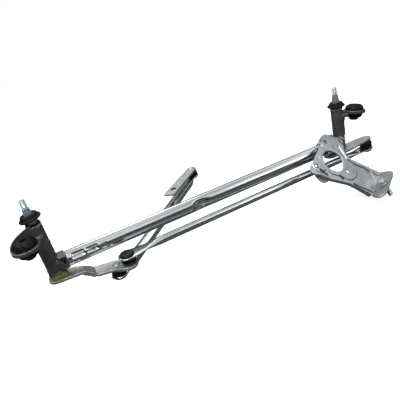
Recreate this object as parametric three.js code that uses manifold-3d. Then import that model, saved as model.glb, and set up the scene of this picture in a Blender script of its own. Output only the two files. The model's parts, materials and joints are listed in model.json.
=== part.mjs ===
// Windshield wiper linkage: a tube frame with two pivots, a motor bracket, two links and a motor crank.
// Millimetres. +X runs along the frame tube from the left pivot to the right one, +Z is up.
import * as THREE from 'three';
import Module from 'manifold-3d';
import { mergeVertices } from 'three/addons/utils/BufferGeometryUtils.js';

const wasm = await Module();
wasm.setup();

// ---- driving dimensions -------------------------------------------------------------------------
const GAP = 0.3;                    // clearance between touching pieces
const PIVOT_SPACING = 514;          // distance between the two spindle axes
const SPINDLE_LEAN = 2;             // degrees that both spindles lean towards -X
const SPINDLE_TIP_Z = 121;          // top of the threaded end above the left lever's top face
const SPINDLE_R = 6;
const THREAD_R = 4;
const THREAD_LENGTH = 10;
const CONE_BASE_Z = 93;
const CONE_BASE_R = 6.6;
const HOUSING_TOP_Z = 84;
const HOUSING_R = 9.9;
const BUSH_R = 7.8;
const BUSH_LENGTH = 18;
const TUBE_Z = 22.4;                 // height of the frame tube's axis
const TUBE_R = 11;
const TUBE_WALL = 1.4;
const SPIGOT_LENGTH = 40;
const CRIMP_INSET = 16;             // from each end of the tube to its crimp
const CRIMP_DEPTH = 1.8;
const TUBE_DENT_PLACE = 0.415;      // the middle dent, as a share of the tube's length
const TUBE_DENT_DEPTH = 4;
const DENT_ANGLE = 152;             // degrees round the tube from +Y towards +Z
const RING_R = 18.5;                // outer radius of the mounting eye round each grommet
const RING_HOLE_R = 12.8;
const RING_THICKNESS = 5;
const GROMMET_TOP = 12;
const GROMMET_BORE_R = 4.5;
const LEVER_THICKNESS = 4.2;
const BALL_R = 6.5;
const OPEN_BALL_R = 5.5;            // the right lever's ball, at the end where the loop is open
const OPEN_BALL_OFFSET = 7.2;
const BALL_OFFSET = 9.5;            // ball centre to the lever face that its stud is riveted to
const SOCKET_R = 10.6;
const LINK_EYE_R = 9.1;
const LINK_TUBE_R = 6;
const LINK_PLATE = 3;
const LINK_PLATE_LOW = 1.2;         // underside of a link's flat end above its ball centre
const OPEN_PLATE_LOW = 7.6;         // the right end's upper face below its ball centre: it runs under the cup

const LEFT = {
  leverTop: 3.5, housingBottom: 8, capBase: 94, capTilt: -5,
  eyeAngle: 231, eyeReach: 28, eyeZ: 68.5, eyeTilt: 0,
};
const RIGHT = {
  leverTop: 9, housingBottom: 11, capBase: 88.5, capTilt: 0,
  eyeAngle: -17, eyeReach: 32, eyeZ: 71, eyeTilt: 12,
};

const LEFT_JOGGLE = 13.5;            // step down of the left lever's outer half
const LEFT_OUTER_TOP = LEFT.leverTop - LEFT_JOGGLE;
const RIGHT_BALL_Z = RIGHT.leverTop - LEVER_THICKNESS - OPEN_BALL_OFFSET;
const LINK_BALL = new THREE.Vector2(91.5, -29.5);    // on the left lever, for the long link
const DRIVE_BALL = new THREE.Vector2(75, -17);       // on the left lever, for the drive rod
const RIGHT_BALL = new THREE.Vector2(62, 0);         // on the right lever, for the long link
const CRANK_BALL = new THREE.Vector3(306.8, 202.5, -13);  // far end of the drive rod
const CRANK_BALL_OFFSET = 9;
const CRANK_LENGTH = 94;
const CRANK_ANGLE = 222.5;          // degrees from +X, from the crank's ball to its motor hole
const CRANK_HALF_WIDTH = 11;
const CRANK_TAIL = 23;              // from the motor hole's axis to the plate's end
const CRANK_SHAFT_R = 5;
const CRANK_THICKNESS = 4;

const BRACKET_CENTRE = new THREE.Vector3(450.3, -43.2, 22.2);
const BRACKET_NORMAL = new THREE.Vector3(0.18, -0.72, 0.67).normalize();
const BRACKET_THICKNESS = 3;
const BRACKET_OUTLINE = [
  [34.5, 41], [26, 42], [16, 39.5], [5.8, 35.5], [3.5, 32], [9.5, 31], [-6, 24], [-33, 13], [-44, 9.5],
  [-51, 3], [-51, -3], [-46, -8], [-38, -13], [-26.6, -27.3], [-0.5, -49.5], [8, -61], [21.2, -85.5],
  [78, -65.8],
  [58.6, -40.8], [42.3, -19], [40, -10], [43.5, 0], [52, 8], [57, 14], [57, 21], [53, 25.5], [43, 31],
];
const MOTOR_HOLE_R = 20;
const MOTOR_HOLE = new THREE.Vector2(3, -5);       // beside the centre of the screws' circle
const SCREW_CIRCLE_R = 35;
const SCREW_HOLE_R = 3.4;
const SCREW_ANGLES = [55, 175, 293];
const FLANGE_BEND = 70;             // degrees that the end flange turns up from the bracket plate
const FLANGE_CENTRE = new THREE.Vector2(49.6, -75.7);
const FLANGE_SLOPE = 19;            // degrees from the bracket's X to the bend
const SKIRT_DEPTH = 9;              // how far the bracket's side walls stand behind its front face
const STUD_R = 4;
const STUD_REACH = 15;              // from the flange's bend to the fixing stud's axis
const STUD_SIDE = 7;                // from the flange's middle to the fixing stud's axis
const SADDLE_X = 481;               // middle of the channel between the bracket and the tube
const SADDLE_WIDTH = 22;
const STRING_R = 0.7;
const STRING_POINTS = [[54.5, 23.5, 1.2], [58.5, 16, 1.6], [61.8, 7, 1.8], [64.8, -7, 2], [65.4, -20, 2.2],
  [62.8, -31, 2.6], [59, -41, 3.2], [55.3, -50, 3.6], [51.5, -60, 2.8], [47.2, -72, 1.3]];

// ---- materials ----------------------------------------------------------------------------------
function finish(color, roughness, metalness) {
  return new THREE.MeshStandardMaterial({ color, roughness, metalness });
}

const ZINC = finish(0xc3c7ca, 0.3, 0.9);
const PLATE = finish(0xb4bcc4, 0.45, 0.7);
const LEVER = finish(0xa5a69f, 0.5, 0.6);
const CAST = finish(0x4a4748, 0.6, 0.7);
const STEEL = finish(0xb8c2cc, 0.25, 1);
const RUBBER = finish(0x141414, 0.8, 0);
const PLASTIC = finish(0x1a1a1c, 0.5, 0);
const BRONZE = finish(0x8a6f4a, 0.5, 0.8);
const STRING = finish(0xd8d8d4, 0.7, 0);

// ---- helpers ------------------------------------------------------------------------------------
const rad = THREE.MathUtils.degToRad;
const polar = (r, degrees) => new THREE.Vector2(r * Math.cos(rad(degrees)), r * Math.sin(rad(degrees)));

function toSolid(geometry) {
  const plain = geometry.clone();
  for (const name of Object.keys(plain.attributes)) {
    if (name !== 'position') plain.deleteAttribute(name);
  }
  const merged = mergeVertices(plain, 1e-4);
  const vertProperties = new Float32Array(merged.attributes.position.array);
  const triVerts = new Uint32Array(merged.index.array);
  return new wasm.Manifold(new wasm.Mesh({ numProp: 3, vertProperties, triVerts }));
}

function toGeometry(solid) {
  const mesh = solid.getMesh();
  const geometry = new THREE.BufferGeometry();
  geometry.setAttribute('position', new THREE.BufferAttribute(new Float32Array(mesh.vertProperties), 3));
  geometry.setIndex(new THREE.BufferAttribute(new Uint32Array(mesh.triVerts), 1));
  geometry.computeVertexNormals();
  return geometry;
}

const join = (first, ...rest) => toGeometry(rest.reduce((sum, g) => sum.add(toSolid(g)), toSolid(first)));
const cut = (first, ...rest) => toGeometry(rest.reduce((sum, g) => sum.subtract(toSolid(g)), toSolid(first)));
const common = (a, b) => toGeometry(toSolid(a).intersect(toSolid(b)));

function node(name, geometry, material) {
  const mesh = new THREE.Mesh(geometry, material);
  mesh.name = name;
  return mesh;
}

// A turned solid about Z. The profile is a list of [radius, z] going up, closed on the axis or on itself.
function turned(profile, segments = 20) {
  const points = profile.map(([r, z]) => new THREE.Vector2(r, z));
  return new THREE.LatheGeometry(points, segments).rotateX(Math.PI / 2);
}

function ring(inner, outer, z0, z1, segments = 20) {
  return turned([[inner, z0], [outer, z0], [outer, z1], [inner, z1], [inner, z0]], segments);
}

function rod(radius, z0, z1, segments = 20) {
  return turned([[0, z0], [radius, z0], [radius, z1], [0, z1]], segments);
}

function plate(shape, z0, z1, curveSegments = 8) {
  const options = { depth: z1 - z0, bevelEnabled: false, curveSegments };
  return new THREE.ExtrudeGeometry(shape, options).translate(0, 0, z0);
}

function outline(points) {
  return new THREE.Shape(points.map(([x, y]) => new THREE.Vector2(x, y)));
}

function discShape(radius, x = 0, y = 0) {
  return new THREE.Shape().absarc(x, y, radius, 0, 2 * Math.PI, false);
}

// A skin through matching closed sections, capped flat at both ends.
function loft(sections) {
  const count = sections[0].length;
  const points = sections.flat();
  const index = [];
  for (let s = 0; s < sections.length - 1; s += 1) {
    for (let i = 0; i < count; i += 1) {
      const a = s * count + i;
      const b = s * count + (i + 1) % count;
      index.push(a, a + count, b, b, a + count, b + count);
    }
  }
  const last = (sections.length - 1) * count;
  for (let i = 1; i < count - 1; i += 1) {
    index.push(0, i, i + 1);
    index.push(last, last + i + 1, last + i);
  }
  const geometry = new THREE.BufferGeometry().setFromPoints(points);
  geometry.setIndex(index);
  geometry.computeVertexNormals();
  return geometry;
}

// A rounded section across X, from full round (power 2) to nearly a rectangle (power 6).
function section(x, halfWidth, halfHeight, z = 0, power = 2, count = 16) {
  const points = [];
  for (let i = 0; i < count; i += 1) {
    const angle = -2 * Math.PI * (i + 0.5) / count;
    const c = Math.cos(angle);
    const s = Math.sin(angle);
    const y = halfWidth * Math.sign(c) * Math.abs(c) ** (2 / power);
    points.push(new THREE.Vector3(x, y, z + halfHeight * Math.sign(s) * Math.abs(s) ** (2 / power)));
  }
  return points;
}

// A group at a place, whose X and Z axes point along (nearly) the given directions.
function frameAt(origin, along, up) {
  const x = along.clone().normalize();
  const y = up.clone().cross(x).normalize();
  const z = x.clone().cross(y);
  const group = new THREE.Group();
  group.applyMatrix4(new THREE.Matrix4().makeBasis(x, y, z).setPosition(origin));
  return group;
}

// ---- pivots -------------------------------------------------------------------------------------
function spindleGeometry(leverTop) {
  const plateBottom = leverTop - LEVER_THICKNESS;
  const neckZ = SPINDLE_TIP_Z - THREAD_LENGTH;
  return turned([
    [0, plateBottom - 3], [7.5, plateBottom - 2.2], [8, plateBottom - GAP], [SPINDLE_R, plateBottom - GAP],
    [SPINDLE_R, CONE_BASE_Z - 1], [CONE_BASE_R, CONE_BASE_Z], [6.1, neckZ - 9], [4.5, neckZ - 1.5],
    [3.5, neckZ - 1], [3.5, neckZ],
    [THREAD_R, neckZ + 0.6], [THREAD_R, SPINDLE_TIP_Z - 1], [THREAD_R - 1, SPINDLE_TIP_Z], [0, SPINDLE_TIP_Z],
  ], 20);
}

// A soft cap over the spindle, whose bore is wide enough for it to sit askew.
function capGeometry(side) {
  const bore = CONE_BASE_R + 0.9;
  const cap = turned([
    [11.4, -4], [14.4, -4], [14.4, -2], [12.6, -1.4], [11.2, 1.6], [8.9, 3.6], [bore, 3.6], [bore, 1.8],
    [10, -0.8], [11.4, -4],
  ]);
  return cap.rotateY(rad(side.capTilt)).translate(0, 0, side.capBase + 4);
}

function grommetGeometry() {
  const neck = RING_HOLE_R - GAP;
  const lip = RING_THICKNESS / 2 + GAP;
  const r = GROMMET_BORE_R;
  return turned([
    [r, -14.5], [6.5, -14.5], [7.5, -11.5], [11.5, -10], [13.4, -7], [14.4, -lip], [neck, -lip], [neck, lip],
    [15.4, lip], [15, 6], [12.8, 10], [9, GROMMET_TOP], [r, GROMMET_TOP], [r, -14.5],
  ], 16);
}

// The mounting eye stands beside the housing on a web. tilt leans the eye outwards.
function placeEye(geometry, side) {
  const place = polar(side.eyeReach, side.eyeAngle);
  return geometry.rotateY(rad(side.eyeTilt)).translate(place.x, place.y, side.eyeZ);
}

function eyeArm(side) {
  const edge = side.eyeReach - RING_R + 1.5;
  const web = outline([[0, side.eyeZ - 20], [HOUSING_R, side.eyeZ - 18], [edge, side.eyeZ - 2.5],
    [edge, side.eyeZ + 2.5], [HOUSING_R, side.eyeZ + 9], [0, side.eyeZ + 9]]);
  const rib = plate(web, -2.5, 2.5).rotateX(Math.PI / 2);
  const flat = outline([[0, -9], [edge, -12], [edge, 12], [0, 9]]);
  const shelf = plate(flat, side.eyeZ - 2.5, side.eyeZ + 2.5);
  return [rib, shelf].map((g) => g.rotateZ(rad(side.eyeAngle)));
}

// The spigot fills the tube's end, with a waist that the tube is crimped into.
function spigotGeometry() {
  const r = TUBE_R - TUBE_WALL - GAP;
  const start = HOUSING_R + 9.5;
  const end = start + SPIGOT_LENGTH;
  return turned([
    [0, 0], [9, 0], [TUBE_R, HOUSING_R - 2], [TUBE_R, start], [r, start], [r, start + 5], [r - 3, start + 7],
    [r - 3, end - 8], [r, end - 6], [r, end - 1], [0, end],
  ]).rotateY(Math.PI / 2);
}

function housingGeometry(side, spigotSide) {
  const body = rod(HOUSING_R, side.housingBottom, HOUSING_TOP_Z, 32);
  const collar = ring(HOUSING_R - 1, HOUSING_R + 0.9, side.housingBottom, side.housingBottom + 4, 32);
  const eye = placeEye(rod(RING_R, -RING_THICKNESS / 2, RING_THICKNESS / 2, 32), side);
  const spigot = spigotGeometry().rotateZ(spigotSide < 0 ? Math.PI : 0);
  spigot.rotateY(rad(SPINDLE_LEAN)).translate(0, 0, TUBE_Z);
  const bore = rod(BUSH_R + GAP, 0, HOUSING_TOP_Z + 1, 32);
  const eyeHole = placeEye(rod(RING_HOLE_R, -RING_THICKNESS, RING_THICKNESS, 32), side);
  return cut(join(body, collar, eye, spigot, ...eyeArm(side)), bore, eyeHole);
}

function bush(z0) {
  return ring(SPINDLE_R + GAP, BUSH_R, z0, z0 + BUSH_LENGTH);
}

function pivotPieces(prefix, side, spigotSide) {
  const top = HOUSING_TOP_Z;
  const bore = SPINDLE_R + GAP;
  return [
    node(`${prefix}_pivot_housing`, housingGeometry(side, spigotSide), CAST),
    node(`${prefix}_upper_bush`, bush(top - BUSH_LENGTH), BRONZE),
    node(`${prefix}_lower_bush`, bush(side.housingBottom), BRONZE),
    node(`${prefix}_grommet`, placeEye(grommetGeometry(), side), RUBBER),
    node(`${prefix}_spindle`, spindleGeometry(side.leverTop), STEEL),
    node(`${prefix}_lower_washer`, ring(bore, 9.5, side.leverTop + GAP, side.housingBottom - GAP), STEEL),
    node(`${prefix}_thrust_washer`, ring(bore, 10.4, top + GAP, top + 1.7), STEEL),
    node(`${prefix}_retaining_clip`, ring(bore, 9.4, top + 2, top + 4.2), PLASTIC),
    node(`${prefix}_rubber_cap`, capGeometry(side), RUBBER),
  ];
}

// ---- levers and ball joints -----------------------------------------------------------------------
// The ball stud is riveted through a plate whose faces lie at 0 and -LEVER_THICKNESS, ball upwards.
function ballStudGeometry(thickness = LEVER_THICKNESS, radius = BALL_R, offset = BALL_OFFSET) {
  const profile = [[0, -thickness - 2], [4.5, -thickness - 2], [6, -thickness - GAP], [4, -thickness - GAP],
    [4, GAP], [6, GAP], [6, 1.8], [3.2, 2.2]];
  for (let step = 0; step < 5; step += 1) {
    const angle = rad(-54 + step * 28);
    profile.push([radius * Math.cos(angle), offset + radius * Math.sin(angle)]);
  }
  profile.push([0, offset + radius]);
  return turned(profile, 14);
}

// The hollow that holds the ball, from its closed pole down past its widest point.
function cavityProfile(ballRadius = BALL_R) {
  const radius = ballRadius + 2 * GAP;
  const profile = [[0, radius]];
  for (let step = 1; step < 5; step += 1) {
    const angle = rad(90 - step * 32);
    profile.push([radius * Math.cos(angle), radius * Math.sin(angle)]);
  }
  return profile;
}

// The socket snaps over the ball from above; its waist sits in the link's eye.
function socketGeometry() {
  const low = LINK_PLATE_LOW;
  const high = low + LINK_PLATE;
  const cavity = cavityProfile();
  return turned([
    ...cavity, [6.4, -7], [SOCKET_R - 1, -7], [SOCKET_R, -5.5], [SOCKET_R, low - GAP],
    [LINK_EYE_R - GAP, low - GAP], [LINK_EYE_R - GAP, high + GAP], [SOCKET_R - 0.4, high + GAP],
    [SOCKET_R - 0.6, high + 2.2], [SOCKET_R - 3, high + 3.6], [0, high + 3.6],
  ], 16);
}

// The left lever steps down between its hub and its outer half, which carries both balls.
function leftLeverGeometry() {
  const t = LEVER_THICKNESS;
  const plan = new THREE.Shape();
  plan.moveTo(13, 9);
  plan.absarc(0, 0, 14, rad(45), rad(265), false);
  plan.lineTo(25, -18.6);
  plan.lineTo(37, -17.4);
  plan.lineTo(66, -26.5);
  plan.absarc(LINK_BALL.x - 1, LINK_BALL.y - 1, 12, rad(225), rad(400), false);
  plan.lineTo(80.5, -5.6);
  plan.lineTo(63, 0.4);
  plan.lineTo(48.5, 5.3);
  plan.lineTo(33, 1.6);
  const profile = outline([
    [-20, -t], [29, -t], [42, -t - LEFT_JOGGLE], [112, -t - LEFT_JOGGLE],
    [112, -LEFT_JOGGLE], [46, -LEFT_JOGGLE], [33, 0], [-20, 0],
  ]);
  const side = plate(profile, -50, 45).rotateX(Math.PI / 2);
  const body = common(plate(plan, -t - LEFT_JOGGLE - 1, 1, 6), side);
  const holes = [LINK_BALL, DRIVE_BALL].map((p) => rod(4 + GAP, -30, 5, 16).translate(p.x, p.y, 0));
  return cut(body, rod(SPINDLE_R + GAP, -10, 5), ...holes).translate(0, 0, LEFT.leverTop);
}

function rightLeverGeometry() {
  const t = LEVER_THICKNESS;
  const reach = RIGHT_BALL.x;
  const tipR = 9.5;
  const plan = new THREE.Shape();
  plan.moveTo(-24, -11);
  plan.lineTo(-6, -14);
  plan.lineTo(8, -14);
  plan.lineTo(reach, -tipR);
  plan.absarc(reach, 0, tipR, -Math.PI / 2, Math.PI / 2, false);
  plan.lineTo(8, 14);
  plan.lineTo(-6, 14);
  plan.lineTo(-24, 11);
  plan.absarc(-24, 0, 11, Math.PI / 2, 3 * Math.PI / 2, false);
  const hole = rod(4 + GAP, -10, 5, 16).translate(reach, 0, 0);
  const spare = rod(2, -10, 5, 12).translate(reach - 11, 1, 0);
  return cut(plate(plan, -t, 0, 6), rod(SPINDLE_R + GAP, -10, 5), hole, spare);
}

function flipped(geometry) {
  return geometry.rotateX(Math.PI);
}

function stud(name, geometry, place, z) {
  return node(name, geometry.translate(place.x, place.y, z), STEEL);
}

function leftLeverPieces() {
  const outerBottom = LEFT_OUTER_TOP - LEVER_THICKNESS;
  return [
    node('left_crank_lever', leftLeverGeometry(), LEVER),
    stud('left_link_ball_stud', ballStudGeometry(), LINK_BALL, LEFT_OUTER_TOP),
    stud('left_drive_ball_stud', flipped(ballStudGeometry()), DRIVE_BALL, outerBottom),
  ];
}

function rightLeverPieces() {
  const top = RIGHT.leverTop;
  const openStud = ballStudGeometry(LEVER_THICKNESS, OPEN_BALL_R, OPEN_BALL_OFFSET);
  return [
    node('right_crank_lever', rightLeverGeometry().translate(0, 0, top), LEVER),
    stud('right_link_ball_stud', flipped(openStud), RIGHT_BALL, top - LEVER_THICKNESS),
    node('right_ball_cup', rightCupGeometry().translate(RIGHT_BALL.x, RIGHT_BALL.y, RIGHT_BALL_Z), PLASTIC),
  ];
}

// ---- links --------------------------------------------------------------------------------------
// The long link runs along X, from above its left ball to below its right one.
function longLinkPieces(length) {
  const half = LINK_PLATE / 2;
  const leftZ = LINK_PLATE_LOW + half;
  const rightZ = -OPEN_PLATE_LOW - half;
  const slope = (rightZ - leftZ) / length;
  const at = (x) => leftZ + slope * x;
  const r = LINK_TUBE_R;
  const sloped = (x, width, height, power) => section(x, width, height, at(x), power);
  const end = (x, z, away) => [
    section(x + away * 12.5, 6, half, z, 4),
    section(x + away * 9, 10, half, z, 4),
    section(x + away * 3, 12.5, half, z, 4),
    section(x - away * 12, 12, half, z, 4),
    section(x - away * 26, 8.6, half, z, 4),
    sloped(x - away * 40, 7.5, half + 1.5, 3),
    sloped(x - away * 54, r, r, 2),
  ];
  const body = loft([...end(0, leftZ, -1), ...end(length, rightZ, 1).reverse()]);
  const eye = rod(LINK_EYE_R, -20, 20);
  const capPin = rod(4 + GAP, -20, 20, 16).translate(length, 0, 0);
  const cap = turned([
    [0, rightZ - half - 4.5], [7.5, rightZ - half - 4.5], [10, rightZ - half - 3], [10, rightZ - half - GAP],
    [4, rightZ - half - GAP], [4, rightZ + half], [0, rightZ + half],
  ]);
  return [
    node('long_link_rod', cut(body, eye, capPin), ZINC),
    node('link_left_socket', socketGeometry(), PLASTIC),
    node('link_right_cap', cap.translate(length, 0, 0), PLASTIC),
  ];
}

// The cup on the right lever's ball, closed below, which the long link's right end runs under.
function rightCupGeometry() {
  const cavity = cavityProfile(OPEN_BALL_R).map(([r, z]) => [r, -z]);
  const bottom = 0.8 - OPEN_PLATE_LOW;
  const top = OPEN_BALL_OFFSET - 2.4;
  return turned([[0, bottom], [9, bottom], [SOCKET_R, bottom + 1.5], [SOCKET_R, top - 2], [SOCKET_R - 2, top],
    [5.6, top], ...cavity.reverse()], 16);
}

function channelOutline(length) {
  const shape = new THREE.Shape();
  shape.absarc(0, 0, 12.5, Math.PI / 2, 3 * Math.PI / 2, false);
  shape.lineTo(18, -9);
  shape.lineTo(length - 18, -9);
  shape.lineTo(length, -12.5);
  shape.absarc(length, 0, 12.5, -Math.PI / 2, Math.PI / 2, false);
  shape.lineTo(length - 18, 9);
  shape.lineTo(18, 9);
  return shape;
}

// The drive rod is a pressed channel: flat eyes at its ends and turned-down walls between them.
function driveRodPieces(length) {
  const low = -LINK_PLATE_LOW - LINK_PLATE;
  const high = -LINK_PLATE_LOW;
  const web = plate(channelOutline(length), low, high);
  const wall = new THREE.BoxGeometry(length - 60, 2.4, 9).translate(length / 2, 0, high - 4.5);
  const walls = [-7.8, 7.8].map((y) => wall.clone().translate(0, y, 0));
  const eyes = [0, length].map((x) => rod(LINK_EYE_R, -20, 20).translate(x, 0, 0));
  return [
    node('drive_rod', cut(join(web, ...walls), ...eyes), ZINC),
    node('drive_left_socket', flipped(socketGeometry()), PLASTIC),
    node('drive_right_socket', flipped(socketGeometry()).translate(length, 0, 0), PLASTIC),
  ];
}

// The motor crank lies over the drive rod: its stud points down, and its tapered hole takes the motor shaft.
function motorCrankPieces() {
  const base = CRANK_BALL_OFFSET;
  const w = CRANK_HALF_WIDTH;
  const end = CRANK_LENGTH + CRANK_TAIL;
  const shape = new THREE.Shape();
  shape.absarc(0, 0, w - 1, Math.PI / 2, 3 * Math.PI / 2, false);
  shape.lineTo(end - 3, -w);
  shape.lineTo(end, 3 - w);
  shape.lineTo(end, w - 3);
  shape.lineTo(end - 3, w);
  const body = plate(shape, base, base + CRANK_THICKNESS, 4);
  const motorHole = rod(CRANK_SHAFT_R, 0, 30).translate(CRANK_LENGTH, 0, 0);
  const studHole = rod(4 + GAP, 0, 30, 16);
  const ballStud = ballStudGeometry(CRANK_THICKNESS, BALL_R, CRANK_BALL_OFFSET);
  return [
    node('motor_crank_arm', cut(body, motorHole, studHole), LEVER),
    node('crank_ball_stud', flipped(ballStud).translate(0, 0, base), STEEL),
  ];
}

// ---- frame tube -----------------------------------------------------------------------------------
// A dent's depth at a point of the skin: x along the tube, angle round it from +Y towards +Z.
function dent(x, angle, centre, halfLength, halfAngle, depth) {
  const along = (x - centre) / halfLength;
  const offset = angle - rad(DENT_ANGLE);
  const turn = Math.atan2(Math.sin(offset), Math.cos(offset)) / halfAngle;
  return depth * Math.exp(-3 * (along ** 4 + turn ** 4));
}

// Both skins share the dents: one near each end, sunk into the spigots' waists, and a long one between.
function frameTubeGeometry(length) {
  const segments = 16;
  const middle = TUBE_DENT_PLACE * length;
  const sunk = (x, angle) => dent(x, angle, CRIMP_INSET, 7, 0.6, CRIMP_DEPTH)
    + dent(x, angle, length - CRIMP_INSET, 7, 0.6, CRIMP_DEPTH)
    + dent(x, angle, middle, 18, 0.8, TUBE_DENT_DEPTH);
  const endSteps = [0, 4, 8, 12, 16, 20, 24, 28, 60];
  const middleSteps = [-24, -18, -14, -9, -4, 0, 4, 9, 14, 18, 24];
  const farSteps = endSteps.map((x) => length - x).reverse();
  const stations = [...endSteps, ...middleSteps.map((x) => middle + x), ...farSteps];
  const skin = (radius) => stations.map((x) => {
    const points = [];
    for (let i = 0; i < segments; i += 1) {
      const angle = -2 * Math.PI * i / segments;
      const r = radius - sunk(x, angle);
      points.push(new THREE.Vector3(x, r * Math.cos(angle), r * Math.sin(angle)));
    }
    return points;
  });
  const outer = loft(skin(TUBE_R));
  const bore = skin(TUBE_R - TUBE_WALL);
  bore[0].forEach((p) => p.setX(-1));
  bore[bore.length - 1].forEach((p) => p.setX(length + 1));
  return cut(outer, loft(bore));
}

// ---- motor bracket ----------------------------------------------------------------------------------
// A straight wall behind the plate's front face, from one point of the outline to another.
function edgeWall([x0, y0], [x1, y1], depth) {
  const length = Math.hypot(x1 - x0, y1 - y0);
  const wall = new THREE.BoxGeometry(length, 2.4, depth).translate(length / 2, 1.3, -depth / 2);
  return wall.rotateZ(Math.atan2(y1 - y0, x1 - x0)).translate(x0, y0, 0);
}

// A low half-round rib pressed out of the front face.
function rib([x0, y0], [x1, y1], radius = 2.6) {
  const length = Math.hypot(x1 - x0, y1 - y0);
  const capsule = new THREE.CapsuleGeometry(radius, length, 4, 8).rotateZ(-Math.PI / 2);
  return capsule.translate(length / 2, 0, -0.3).rotateZ(Math.atan2(y1 - y0, x1 - x0)).translate(x0, y0, 0);
}

// Stands a geometry on the end flange: X runs along the bend and Y up the flange.
function flangeFrame(geometry) {
  return geometry.rotateX(rad(FLANGE_BEND)).rotateZ(rad(FLANGE_SLOPE) + Math.PI)
    .translate(FLANGE_CENTRE.x, FLANGE_CENTRE.y, -BRACKET_THICKNESS / 2);
}

function bracketGeometry() {
  const t = BRACKET_THICKNESS;
  const holes = SCREW_ANGLES.map((a) => {
    const p = polar(SCREW_CIRCLE_R, a);
    return rod(SCREW_HOLE_R, -20, 20, 20).translate(p.x, p.y, 0);
  });
  const flange = outline([
    [-30, -1], [30, -1], [37, 6], [42, 17], [37, 24], [30, 26.5], [-12, 26.5], [-20, 24], [-24, 19], [-27, 8],
  ]);
  const body = join(
    plate(outline(BRACKET_OUTLINE), -t, 0),
    edgeWall([-38, -13], [-26.6, -27.3], SKIRT_DEPTH),
    edgeWall([-26.6, -27.3], [-0.5, -49.5], SKIRT_DEPTH),
    edgeWall([-0.5, -49.5], [8, -61], SKIRT_DEPTH),
    edgeWall([8, -61], [21.2, -85.5], SKIRT_DEPTH),
    edgeWall([58.6, -40.8], [42.3, -19], SKIRT_DEPTH),
    edgeWall([76, -63.3], [58.6, -40.8], SKIRT_DEPTH),
    rib([38.9, 11], [32.5, -14.5]),
    rib([37.4, -25.4], [64, -60]),
    rib([7.3, -54.5], [22, -77]),
    flangeFrame(plate(flange, -1.5, 1.5)),
  );
  const studHole = flangeFrame(rod(STUD_R + GAP, -9, 9, 16).translate(STUD_SIDE, STUD_REACH, 0));
  const motorHole = rod(MOTOR_HOLE_R, -20, 20, 32).translate(MOTOR_HOLE.x, MOTOR_HOLE.y, 0);
  return cut(body, motorHole, studHole, ...holes);
}

function fixingStudPieces() {
  const stud8 = turned([[0, -24], [3.2, -24], [STUD_R, -23], [STUD_R, 9], [3.2, 10], [0, 10]], 16);
  const hexagon = turned([[0, 2.2], [7.4, 2.2], [7.4, 7], [0, 7]], 6);
  const collar = cut(join(rod(8, 1.8, 3, 20), hexagon), rod(STUD_R + GAP, 0, 9, 16));
  return [
    node('fixing_stud', flangeFrame(stud8.translate(STUD_SIDE, STUD_REACH, 0)), STEEL),
    node('fixing_stud_nut', flangeFrame(collar.translate(STUD_SIDE, STUD_REACH, 0)), STEEL),
  ];
}

// A rounded tab stands off the bracket's back on a post, behind the lower side wall.
function locatingTabGeometry() {
  const near = -SKIRT_DEPTH - 2 * GAP;
  const tab = outline([
    [-26, -1], [-39, -1], [-41, -10], [-40, -19], [-35, -25], [-27, -26.5], [-21, -23], [-18, -15],
  ]);
  const post = rod(4.5, near - 1, -BRACKET_THICKNESS - GAP, 16).translate(-37, -6, 0);
  return join(plate(tab, near - 3, near), post);
}

function bracketPieces() {
  return [
    node('motor_bracket', bracketGeometry(), PLATE),
    node('locating_tab', locatingTabGeometry(), LEVER),
    ...fixingStudPieces(),
  ];
}

// A channel that straddles the frame tube and carries the bracket's upper corner.
function saddleGeometry(bracketFrame) {
  const inner = TUBE_R + GAP;
  const outer = inner + 2.5;
  const lean = Math.atan2(-BRACKET_NORMAL.y, BRACKET_NORMAL.z);
  const place = (g) => g.rotateX(lean).translate(SADDLE_X, 0, TUBE_Z);
  const block = place(new THREE.BoxGeometry(SADDLE_WIDTH, 2 * outer, 70).translate(0, 0, 31));
  const hollow = place(new THREE.BoxGeometry(SADDLE_WIDTH + 2, 2 * inner, 72).translate(0, 0, 31));
  const above = (depth) => {
    const slab = new THREE.BoxGeometry(300, 300, 100).translate(0, 0, 50 - depth);
    return slab.applyMatrix4(bracketFrame.matrix);
  };
  const depth = BRACKET_THICKNESS + GAP;
  return cut(cut(block, above(depth)), cut(hollow, above(depth + BRACKET_THICKNESS)));
}

// ---- string tie -----------------------------------------------------------------------------------
// A thin tie bows out beyond the bracket's right edge, over its front face at both ends.
function stringGeometry() {
  const curve = new THREE.CatmullRomCurve3(STRING_POINTS.map(([x, y, z]) => new THREE.Vector3(x, y, z)));
  return new THREE.ExtrudeGeometry(discShape(STRING_R), { steps: 20, extrudePath: curve, curveSegments: 4 });
}

// ---- assembly -------------------------------------------------------------------------------------
const assembly = new THREE.Group();
const leftPivot = new THREE.Group();
const rightPivot = new THREE.Group();
rightPivot.position.x = PIVOT_SPACING;
for (const pivot of [leftPivot, rightPivot]) {
  pivot.rotation.y = rad(-SPINDLE_LEAN);
  pivot.updateMatrix();
}
leftPivot.add(...pivotPieces('left', LEFT, 1), ...leftLeverPieces());
rightPivot.add(...pivotPieces('right', RIGHT, -1), ...rightLeverPieces());

const up = new THREE.Vector3(0, 0, 1).applyQuaternion(leftPivot.quaternion);
const inPivot = (pivot, x, y, z) => new THREE.Vector3(x, y, z).applyMatrix4(pivot.matrix);
const leftBall = inPivot(leftPivot, LINK_BALL.x, LINK_BALL.y, LEFT_OUTER_TOP + BALL_OFFSET);
const rightBall = inPivot(rightPivot, RIGHT_BALL.x, RIGHT_BALL.y, RIGHT_BALL_Z);
const driveBallZ = LEFT_OUTER_TOP - LEVER_THICKNESS - BALL_OFFSET;
const driveBall = inPivot(leftPivot, DRIVE_BALL.x, DRIVE_BALL.y, driveBallZ);

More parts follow.
